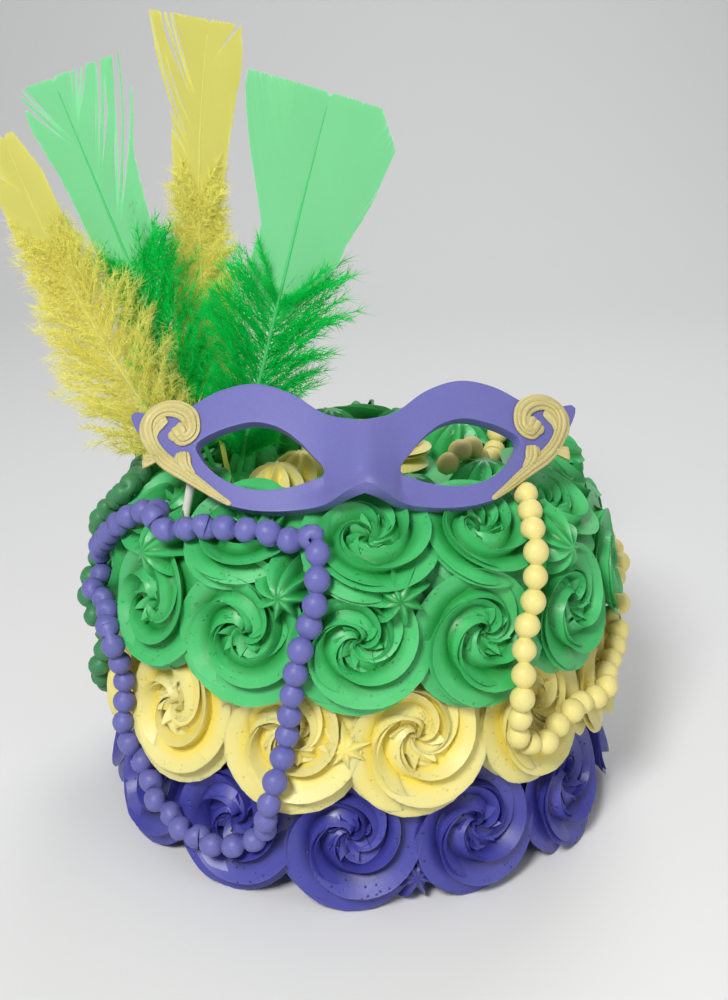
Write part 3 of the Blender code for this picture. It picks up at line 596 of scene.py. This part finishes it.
def fondant(name, light, deep, worn, roughness, grain=0.25):
    """Fondant: a satin sugar paste with a powdery grain."""
    material = bpy.data.materials.new(name)
    material.use_nodes = True
    tree = material.node_tree
    shader = tree.nodes["Principled BSDF"]
    surface = tree.nodes.new("ShaderNodeGroup")
    surface.node_tree = FONDANT_GRAIN
    surface.inputs["Light"].default_value = (*light, 1)
    surface.inputs["Deep"].default_value = (*deep, 1)
    surface.inputs["Worn"].default_value = worn
    bump = tree.nodes.new("ShaderNodeBump")
    bump.inputs["Strength"].default_value = grain
    bump.inputs["Distance"].default_value = 0.0002
    tree.links.new(surface.outputs["Colour"], shader.inputs["Base Color"])
    tree.links.new(surface.outputs["Height"], bump.inputs["Height"])
    tree.links.new(bump.outputs["Normal"], shader.inputs["Normal"])
    shader.inputs["Roughness"].default_value = roughness
    shader.inputs["Specular IOR Level"].default_value = 0.36
    shader.inputs["Subsurface Weight"].default_value = 0.08
    shader.inputs["Subsurface Scale"].default_value = 0.001
    return material


mask.data.materials.append(fondant("fondant_purple", (0.165, 0.162, 0.430), (0.132, 0.130, 0.375), 0.5, 0.42))
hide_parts("mask")
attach(mask, "root")


# The gilt scrolls on the ends of the mask: pale sugar paste pressed in a mould and dusted with gold. Each
# is a curl that ends in a nub, an arm with flutes along it, a leaf and a bud, glued on flat.
SCROLL_LIMBS = (
    ((0.0655, 0.0100, 0.0032), (0.0634, 0.0070, 0.0031), (0.0604, 0.0090, 0.0031), (0.0612, 0.0150, 0.0033),
     (0.0652, 0.0190, 0.0033), (0.0702, 0.0206, 0.0033), (0.0746, 0.0196, 0.0033), (0.0770, 0.0164, 0.0034),
     (0.0770, 0.0122, 0.0032), (0.0752, 0.0072, 0.0026), (0.0722, 0.0022, 0.0026), (0.0680, -0.0025, 0.0026),
     (0.0625, -0.0073, 0.0023), (0.0575, -0.0118, 0.0019), (0.0520, -0.0168, 0.0014),
     (0.0462, -0.0216, 0.0008)),
    ((0.0640, 0.0078, 0.0036), (0.0652, 0.0102, 0.0044), (0.0665, 0.0122, 0.0036)),
    ((0.0698, 0.0166, 0.0018), (0.0722, 0.0154, 0.0026), (0.0744, 0.0128, 0.0022), (0.0748, 0.0095, 0.0013)),
    ((0.0636, 0.0018, 0.0024), (0.0638, -0.0012, 0.0032), (0.0628, -0.0046, 0.0027),
     (0.0598, -0.0084, 0.0014)),
    ((0.0722, 0.0024, 0.0020), (0.0752, 0.0016, 0.0021), (0.0778, 0.0014, 0.0028), (0.0790, 0.0014, 0.0024)),
)


def line_frames(line, closed):
    """A direction across a line and one more at each of its points, that don't twist on the way."""
    ahead = np.roll(line, -1, axis=0) - np.roll(line, 1, axis=0)
    if not closed:
        ahead[0], ahead[-1] = line[1] - line[0], line[-1] - line[-2]
    ahead /= np.linalg.norm(ahead, axis=1)[:, None]
    side = np.cross(ahead[0], (0.0, 0.0, 1.0) if abs(ahead[0][2]) < 0.9 else (1.0, 0.0, 0.0))
    sides = []
    for direction in ahead:
        side = side - direction * side.dot(direction)
        side /= np.linalg.norm(side)
        sides.append(side)
    sides = np.array(sides)
    other = np.cross(ahead, sides)
    if closed:
        last = sides[-1] - ahead[0] * sides[-1].dot(ahead[0])
        miss = math.atan2(last.dot(other[0]), last.dot(sides[0]))
        angle = (-miss * np.arange(len(line)) / len(line))[:, None]
        turned = sides * np.cos(angle) + other * np.sin(angle)
        other = other * np.cos(angle) - sides * np.sin(angle)
        sides = turned
    return sides, other


def swept(name, line, radii, columns, closed=False, form=None, lay=None):
    """A round form along a line. form(turn, row) makes its section uneven, and lay() places its points."""
    line, radii = np.array(line, dtype=float), np.array(radii, dtype=float)
    sides, other = line_frames(line, closed)
    if not closed:
        line = np.concatenate((line[:1], line, line[-1:]))
        radii = np.concatenate(((0,), radii, (0,)))
        sides, other = (np.concatenate((each[:1], each, each[-1:])) for each in (sides, other))
    rows = len(line) if closed else len(line) - 1

    def place(turn, way):
        row = np.rint(way * rows).astype(int) % len(line)
        angle = turn * 2 * math.pi
        reach = radii[row] * (form(turn, row) if form else 1)
        points = line[row] + (np.cos(angle) * reach)[:, None] * sides[row]
        points = points + (np.sin(angle) * reach)[:, None] * other[row]
        return lay(points) if lay else points

    def crest(turn, way):
        return form(turn, np.zeros(len(turn), int)) - 0.5

    return rolled_sheet(name, columns, rows, place, crest if form else None)


def scroll_limb(strip, hand, count, flutes):
    """One limb of a scroll: half round, fluted, flat underneath, and laid on the mask."""
    line = smooth_line(strip, count, closed=False)
    radii = line[:, 2].copy()
    radii[:2] *= (0.55, 0.85)
    radii[-2:] *= (0.85, 0.55)
    line[:, 2] = 0

    def lay(points):
        lift = MASK_THICKNESS / 2 + 0.0001 + 0.75 * np.maximum(points[:, 2], 0)
        return on_mask(hand * points[:, 0], points[:, 1], lift)

    def fluted(turn, row):
        return 0.76 + 0.30 * np.abs(np.sin(flutes * np.pi * turn))

    return swept("limb", line, radii, 40, False, fluted, lay)


gilt = fondant("gilt", (0.70, 0.63, 0.29), (0.34, 0.26, 0.08), 0.9, 0.40, 0.5)
for side, hand in (("left", -1), ("right", 1)):
    limbs = []
    for strip, flutes in zip(SCROLL_LIMBS, (8, 8, 6, 8, 6)):
        limbs.append(scroll_limb(strip, hand, 9 * len(strip), flutes))
    scroll = joined("gilt_scroll_" + side, limbs, 70)
    scroll.data.materials.append(gilt)
    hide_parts("scroll_" + side)
    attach(scroll, "root")


# Two white paper sticks, 3 mm thick, stand in the top of the cake behind the mask and prop it.
STICK_RADIUS = 0.0016
STICKS = {
    "left": ((-0.0690, -0.0560, 0.118), (-0.0605, -0.0045)),
    "right": ((0.0520, -0.0560, 0.118), (0.0600, -0.0045)),
}
stick_paper = bpy.data.materials.new("stick_paper")
stick_paper.use_nodes = True
tree = stick_paper.node_tree
shader = tree.nodes["Principled BSDF"]
shader.inputs["Roughness"].default_value = 0.6
place = tree.nodes.new("ShaderNodeTexCoord")
fibres = tree.nodes.new("ShaderNodeTexNoise")
fibres.inputs["Scale"].default_value = 300
tint = tree.nodes.new("ShaderNodeMix")
tint.data_type = "RGBA"
tint.inputs["A"].default_value = (0.70, 0.67, 0.60, 1)
tint.inputs["B"].default_value = (0.86, 0.84, 0.78, 1)
tree.links.new(place.outputs["Object"], fibres.inputs["Vector"])
tree.links.new(fibres.outputs["Fac"], tint.inputs["Factor"])
tree.links.new(tint.outputs["Result"], shader.inputs["Base Color"])
for side, (foot, head) in STICKS.items():
    behind = -(MASK_THICKNESS / 2 + STICK_RADIUS + 0.0003)
    top = on_mask(*(np.array([value]) for value in (*head, behind)))[0]
    line = np.array(foot) + np.linspace(0, 1, 8)[:, None] * (top - np.array(foot))
    radii = np.full(8, STICK_RADIUS)
    radii[[0, -1]] *= 0.9
    stick = swept("paper_stick_" + side, line, radii, 20)
    bpy.ops.object.shade_smooth_by_angle(angle=math.radians(40))
    stick.data.materials.append(stick_paper)
    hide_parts("stick_" + side)
    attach(stick, "root")


# Three strands of fondant beads, 9 mm thick and joined by short necks, pressed in a silicone mould in one
# strip. They are draped over the rosettes while soft, so each strand follows what it lies on.
BEAD_RADIUS = 0.0045
BEAD_PITCH = 0.0087
BEAD_NECK = 0.0019
CAKE_OUT = 0.108
EDGE_ROUND = 0.018
WALL_TOP = 0.134
STRANDS = {
    "purple": ((-9, 0.150), (-8, 0.139), (-9, 0.122), (-12, 0.102), (-14, 0.078), (-16, 0.057), (-18, 0.041),
               (-20, 0.030), (-24, 0.0245), (-31, 0.0215), (-40, 0.0235), (-49, 0.031), (-56, 0.044),
               (-58.5, 0.061), (-57, 0.078), (-57, 0.090), (-63, 0.0965), (-71, 0.099), (-77, 0.105),
               (-75, 0.113), (-66, 0.126), (-59, 0.137), (-54.5, 0.146), (-50.5, 0.150), (-47.5, 0.143),
               (-43.5, 0.141), (-39, 0.146), (-34, 0.151), (-28, 0.153), (-22, 0.154), (-15, 0.154)),
    "yellow": ((52, 0.212), (74, 0.207), (94, 0.200), (110, 0.190), (122, 0.176), (128, 0.160),
               (128, 0.142), (124, 0.125), (117, 0.112), (108, 0.101), (99, 0.093), (91, 0.086), (83, 0.080),
               (76, 0.074), (69, 0.070), (62, 0.067), (54, 0.0650), (47, 0.0665), (42, 0.0635), (37, 0.0600),
               (32, 0.0640), (29.5, 0.072), (29.5, 0.082), (31, 0.096), (33, 0.111), (36, 0.127),
               (36.5, 0.139), (38, 0.150), (41, 0.160), (45, 0.170)),
    "green": ((-70, 0.148), (-74, 0.136), (-79, 0.124), (-85, 0.112), (-86, 0.099), (-80, 0.088),
              (-76, 0.078), (-76, 0.066), (-79, 0.055), (-83, 0.046), (-90, 0.043), (-97, 0.049),
              (-102, 0.062), (-105, 0.080), (-107, 0.100), (-108, 0.120), (-107, 0.138), (-102, 0.154),
              (-94, 0.160), (-85, 0.161), (-77, 0.157)),
}


def surface_of(pieces):
    """The surface of several pieces together, to lay a strand on."""
    points = []
    faces = []
    for piece in pieces:
        first = len(points)
        points.extend(vert.co.copy() for vert in piece.data.vertices)
        faces.extend([first + index for index in face.vertices] for face in piece.data.polygons)
    return BVHTree.FromPolygons(points, faces)


def settled(azimuth, rise, surface):
    """Where a bead comes to rest on the surface, moved in from outside the cake."""
    around = min(max((rise - WALL_TOP) / (EDGE_ROUND * math.pi / 2), 0), 1) * math.pi / 2
    inner = CAKE_OUT - EDGE_ROUND
    radius = inner + EDGE_ROUND * math.cos(around) - max(rise - WALL_TOP - EDGE_ROUND * math.pi / 2, 0)
    height = min(rise, WALL_TOP) + EDGE_ROUND * math.sin(around)
    there = Vector(outward(azimuth))
    normal = there * math.cos(around) + Vector((0, 0, math.sin(around)))
    point = there * radius + Vector((0, 0, height)) + normal * 0.03
    for _ in range(60):
        step = surface.find_nearest(point)[3] - BEAD_RADIUS * 0.93
        if step < 0.00002:
            break
        point = point - normal * step
    return point


def bead_strand(colour, closed, cake):
    """A strand laid along its route: round beads, each a little uneven, with necks between them."""
    chance = random.Random(colour)
    route = smooth_line(STRANDS[colour], 90, closed)
    guide = [tuple(settled(azimuth, rise, cake)) for azimuth, rise in route]
    ends = guide[1:] + guide[:1] * closed
    count = round(sum(math.dist(a, b) for a, b in zip(guide, ends)) / BEAD_PITCH)
    steps = 12
    line = smooth_line(guide, steps * count + (0 if closed else 1), closed)
    radii = []
    for index in range(len(line)):
        if index % steps == 0:
            size = BEAD_RADIUS * chance.uniform(0.97, 1.04)
        off = (index % steps / steps - 0.5) * BEAD_PITCH
        radii.append(max(math.sqrt(max(size * size - off * off, 0)), BEAD_NECK))
    dents = np.array([chance.uniform(-1, 1) for _ in range(count + 1)])

    def form(turn, row):
        dent = dents[row // steps % (count + 1)]
        return 1 + 0.03 * dent * np.cos(2 * np.pi * (turn * 2 + dent))

    strand = swept("bead_strand_" + colour, line, radii, 16, closed, form)
    bpy.ops.object.shade_smooth_by_angle(angle=math.radians(60))
    return strand


BEAD_COLOURS = {
    "purple": ((0.155, 0.158, 0.430), (0.105, 0.108, 0.340)),
    "yellow": ((0.800, 0.710, 0.280), (0.720, 0.610, 0.190)),
    "green": ((0.060, 0.260, 0.100), (0.030, 0.180, 0.070)),
}
cake = surface_of([*tiers, swirl])
for colour, closed in (("purple", True), ("yellow", False), ("green", True)):
    strand = bead_strand(colour, closed, cake)
    strand.data.materials.append(fondant("beads_" + colour, *BEAD_COLOURS[colour], 0.8, 0.45, 0.4))
    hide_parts("beads_" + colour)
    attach(strand, "root")


# Four dyed craft feathers stuck in behind the mask. Each has a tapering quill, a smooth vane of flat barbs
# towards its tip, split here and there, and soft down with fine side hairs below it.
QUILL_RADIUS = 0.0011
QUILL_HIDDEN = 0.022
FEATHERS = {
    "yellow_left": {
        "quill": ((-0.0610, -0.0190, 0.134), (-0.1070, -0.0140, 0.195), (-0.1320, -0.0060, 0.269)),
        "widths": ((0.08, 0.010, 0.010), (0.16, 0.016, 0.016), (0.30, 0.023, 0.021), (0.46, 0.021, 0.022),
                   (0.60, 0.016, 0.017), (0.75, 0.012, 0.010), (0.90, 0.011, 0.009), (1.0, 0.004, 0.004)),
        "down_to": 0.68, "splits": ((0.86, -1), (0.80, 1)),
    },
    "green_left": {
        "quill": ((-0.0560, -0.0130, 0.134), (-0.0830, -0.0080, 0.208), (-0.1130, -0.0020, 0.289)),
        "widths": ((0.10, 0.008, 0.012), (0.22, 0.013, 0.017), (0.38, 0.012, 0.024), (0.52, 0.010, 0.022),
                   (0.64, 0.011, 0.014), (0.80, 0.012, 0.018), (0.92, 0.015, 0.026), (1.0, 0.013, 0.026)),
        "down_to": 0.52, "splits": ((0.66, 1), (0.76, 1), (0.84, -1), (0.88, 1)),
    },
    "yellow_middle": {
        "quill": ((-0.0530, -0.0080, 0.134), (-0.0690, -0.0040, 0.222), (-0.0550, 0.0020, 0.309)),
        "widths": ((0.12, 0.008, 0.008), (0.26, 0.013, 0.013), (0.42, 0.013, 0.013), (0.56, 0.011, 0.011),
                   (0.68, 0.010, 0.010), (0.80, 0.011, 0.012), (0.92, 0.018, 0.014), (1.0, 0.022, 0.012)),
        "down_to": 0.60, "splits": ((0.70, -1), (0.76, -1), (0.82, -1), (0.90, 1)),
    },
    "green_right": {
        "quill": ((-0.0500, -0.0230, 0.134), (-0.0330, -0.0160, 0.205), (-0.0110, -0.0050, 0.284)),
        "widths": ((0.12, 0.012, 0.010), (0.24, 0.019, 0.017), (0.38, 0.025, 0.025), (0.50, 0.022, 0.025),
                   (0.60, 0.014, 0.018), (0.68, 0.013, 0.020), (0.80, 0.021, 0.026), (0.92, 0.031, 0.029),
                   (1.0, 0.031, 0.020)),
        "down_to": 0.48, "splits": ((0.63, -1),),
    },
}


def barb_mesh(name, strips):
    """Thin three-sided closed spikes as one mesh, each along its own points and with its own widths."""
    points, faces, down = [], [], []
    for line, wide, thick, flat, soft in strips:
        first = len(points)
        count = len(line)
        for index in range(count - 1):
            ahead = line[index + 1] - line[index]
            ahead = ahead / (np.linalg.norm(ahead) + 1e-12)
            side = np.cross(flat, ahead)
            side = side / (np.linalg.norm(side) + 1e-12)
            taper = wide * (1 - index / count) ** 0.35
            half = side * taper / 2
            points.extend((line[index] - half, line[index] + half, line[index] + flat * thick))
        points.append(line[-1])
        tip = len(points) - 1
        faces.append((first + 2, first + 1, first))
        for index in range(count - 2):
            here = first + 3 * index
            for a, b in ((0, 1), (1, 2), (2, 0)):
                faces.append((here + a, here + b, here + 3 + b, here + 3 + a))
        here = first + 3 * (count - 2)
        faces.extend(((here, here + 1, tip), (here + 1, here + 2, tip), (here + 2, here, tip)))
        down.extend([soft] * (tip + 1 - first))
    data = bpy.data.meshes.new(name)
    data.from_pydata([tuple(point) for point in points], [], faces)
    data.attributes.new("down", "FLOAT", "POINT").data.foreach_set("value", down)
    made = bpy.data.objects.new(name, data)
    bpy.context.scene.collection.objects.link(made)
    return made


def feather(name, shape):
    """One feather: its quill, the barbs of its vane and its down."""
    chance = random.Random(name)
    low, bend, high = (np.array(point) for point in shape["quill"])
    start = (bend - low) / np.linalg.norm(bend - low)
    widths = np.array(shape["widths"])
    length = float(np.linalg.norm(bend - low) + np.linalg.norm(high - bend)) * 0.985

    def quill(way):
        return (1 - way) ** 2 * low + 2 * way * (1 - way) * bend + way * way * high

    def at(along, aside, out=0.0):
        """A point by its way along the quill, its distance aside of it and out of the vane."""
        way = along / length
        inside = min(max(way, 0.0), 1.0)
        ahead = quill(min(inside + 0.02, 1)) - quill(max(inside - 0.02, 0))
        ahead = ahead / np.linalg.norm(ahead)
        across = np.cross((0.0, 1.0, 0.0), ahead)
        across = across / np.linalg.norm(across)
        front = np.cross(across, ahead)
        wave = 0.0018 * math.sin(9 * way + 90 * aside) * min(abs(aside) / 0.012, 1)
        return quill(inside) + ahead * (way - inside) * length + across * aside + front * (wave + out), front

    def reach(along, hand):
        way = along / length
        return float(np.interp(way, widths[:, 0], widths[:, 2 if hand > 0 else 1])) if way <= 1.0 else -1.0

    strips = []
    split_shift = {1: 0.0, -1: 0.0}
    along = shape["down_to"] * length - 0.006
    while along < length:
        for hand in (-1, 1):
            here = along / length
            near = [way for way, side in shape["splits"] if side == hand and abs(here - way) < 0.012]
            split_shift[hand] += 0.02 * (chance.random() - 0.5)
            split_shift[hand] += 0.16 if near and chance.random() < 0.25 else 0
            split_shift[hand] *= 0.95
            angle = math.radians(38) - split_shift[hand] * 0.5 + math.radians(chance.uniform(-0.5, 0.5))
            line = [at(along, 0.0)[0]]
            travelled_along, travelled_aside = along, 0.0
            step = 0.0026
            edge = chance.uniform(0.985, 1.0)
            for index in range(30):
                turn = angle - 0.35 * travelled_aside / 0.03
                ahead, aside = math.cos(turn) * step, math.sin(turn) * step
                share = 1.0
                if travelled_aside + aside > reach(travelled_along + ahead, hand) * edge:
                    share = 0.5
                    for halving in range(2, 7):
                        limit = reach(travelled_along + ahead * share, hand) * edge
                        inside = travelled_aside + aside * share < limit
                        share += (1 if inside else -1) * 0.5 ** halving
                travelled_along += ahead * share
                travelled_aside += aside * share
                point, front = at(travelled_along, hand * travelled_aside)
                line.append(point)
                if share < 1.0:
                    break
            if len(line) > 2:
                strips.append((line, 0.00110, 0.00012, front, 0.0))
        along += 0.00042
    along = 0.10 * length
    while along < (shape["down_to"] + 0.05) * length:
        for hand in (-1, 1):
            full = reach(along + 0.010, hand) * chance.uniform(0.75, 1.12)
            angle = math.radians(chance.uniform(30, 62))
            lean = chance.uniform(-0.9, 0.9)
            droop = chance.uniform(-0.5, 0.4)
            line = []
            travelled_along, travelled_aside, out = along, 0.0, 0.0
            segments = 8
            step = full / math.sin(max(angle, 0.8)) / segments
            for index in range(segments + 1):
                point, front = at(travelled_along, hand * travelled_aside, out)
                line.append(point)
                turn = angle + droop * index / segments
                travelled_along += math.cos(turn) * step
                travelled_aside += math.sin(turn) * step
                out += lean * step * 0.45
            strips.append((line, 0.00028, 0.00020, front, 1.0))
            for here, there in zip(line, line[1:]):
                for _ in range(9):
                    part = chance.random()
                    base = here * (1 - part) + there * part
                    away = np.array([chance.uniform(-1, 1) for _ in range(3)])
                    away = away / np.linalg.norm(away) * chance.uniform(0.0020, 0.0052)
                    away = away + (there - here) * 1.1
                    strips.append(([base, base + away], 0.00026, 0.00014, front, 1.0))
        along += 0.00062
    barbs = barb_mesh("barbs", strips)
    stem = [low - start * QUILL_HIDDEN] + [quill(way) for way in np.linspace(0, 0.97, 40)]
    thick = [QUILL_RADIUS * 0.6, QUILL_RADIUS] + list(QUILL_RADIUS * np.linspace(0.95, 0.25, 39))
    rachis = swept("rachis", stem, thick, 10)
    between = rachis.data.attributes.new("down", "FLOAT", "POINT")
    between.data.foreach_set("value", [0.5] * len(rachis.data.vertices))
    return joined("plume_" + name, [barbs, rachis], 60)


def plumage(name, vane, soft, dark):
    """Dyed feather: paler on the vane and deeper in the down, with streaks along the barbs."""
    material = bpy.data.materials.new(name)
    material.use_nodes = True
    tree = material.node_tree
    shader = tree.nodes["Principled BSDF"]
    zone = tree.nodes.new("ShaderNodeAttribute")
    zone.attribute_name = "down"
    place = tree.nodes.new("ShaderNodeTexCoord")
    streaks = tree.nodes.new("ShaderNodeTexNoise")
    streaks.inputs["Scale"].default_value = 160
    streaks.inputs["Detail"].default_value = 3
    tree.links.new(place.outputs["Object"], streaks.inputs["Vector"])
    deep = tree.nodes.new("ShaderNodeMix")
    deep.data_type = "RGBA"
    deep.inputs["A"].default_value = (*soft, 1)
    deep.inputs["B"].default_value = (*dark, 1)
    tree.links.new(streaks.outputs["Fac"], deep.inputs["Factor"])
    blend = tree.nodes.new("ShaderNodeMix")
    blend.data_type = "RGBA"
    blend.inputs["A"].default_value = (*vane, 1)
    tree.links.new(deep.outputs["Result"], blend.inputs["B"])
    tree.links.new(zone.outputs["Fac"], blend.inputs["Factor"])
    tree.links.new(blend.outputs["Result"], shader.inputs["Base Color"])
    shader.inputs["Roughness"].default_value = 0.6
    shader.inputs["Specular IOR Level"].default_value = 0.3
    glow = tree.nodes.new("ShaderNodeBsdfTranslucent")
    tree.links.new(blend.outputs["Result"], glow.inputs["Color"])
    both = tree.nodes.new("ShaderNodeMixShader")
    both.inputs["Fac"].default_value = 0.6
    tree.links.new(shader.outputs["BSDF"], both.inputs[1])
    tree.links.new(glow.outputs["BSDF"], both.inputs[2])
    tree.links.new(both.outputs["Shader"], tree.nodes["Material Output"].inputs["Surface"])
    return material


PLUMAGE = {
    "yellow": plumage("feather_yellow", (0.86, 0.84, 0.26), (1.0, 1.0, 0.52), (0.95, 0.90, 0.26)),
    "green": plumage("feather_green", (0.38, 0.88, 0.52), (0.006, 0.95, 0.27), (0.003, 0.70, 0.11)),
}
for name, shape in FEATHERS.items():
    plume = feather(name, shape)
    colour = name.split("_")[0]
    plume.data.materials.append(PLUMAGE[colour])
    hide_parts("feather_" + name)
    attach(plume, "root")
